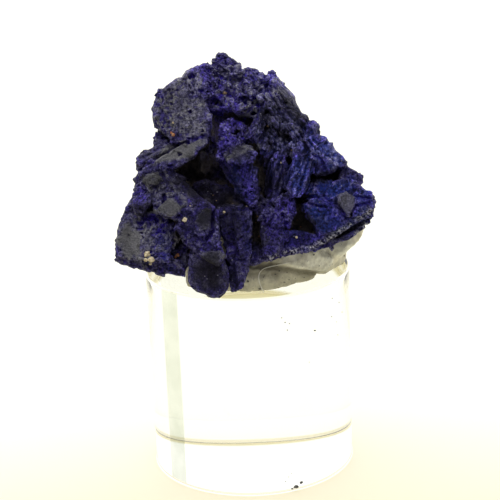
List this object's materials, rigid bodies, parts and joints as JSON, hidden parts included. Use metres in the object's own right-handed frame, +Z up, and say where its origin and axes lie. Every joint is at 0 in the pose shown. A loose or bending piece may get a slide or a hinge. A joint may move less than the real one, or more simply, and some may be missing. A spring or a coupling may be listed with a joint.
{
  "type": "azurite specimen",
  "caption": "Azurite cluster of thick intergrown tabular crystals, set with putty on a clear round acrylic stand.",
  "frame": {"origin": "middle of the stand's underside, the face that it stands on", "axes": "+Z up along the stand's axis through the cluster; -Y is the cluster's show face; +X is to the right as the show face is looked at"},
  "size_m": [0.0242, 0.0216, 0.041],
  "materials": {
    "azurite_cluster": "deep blue, dull to glassy on the flat faces",
    "mounting_putty": "pale cream-grey putty, matte, with dust",
    "acrylic_stand": "clear polished acrylic"
  },
  "bodies": {
    "root": {"azurite_cluster": "azurite_cluster", "mounting_putty": "mounting_putty", "acrylic_stand": "acrylic_stand"}
  },
  "joints": []
}
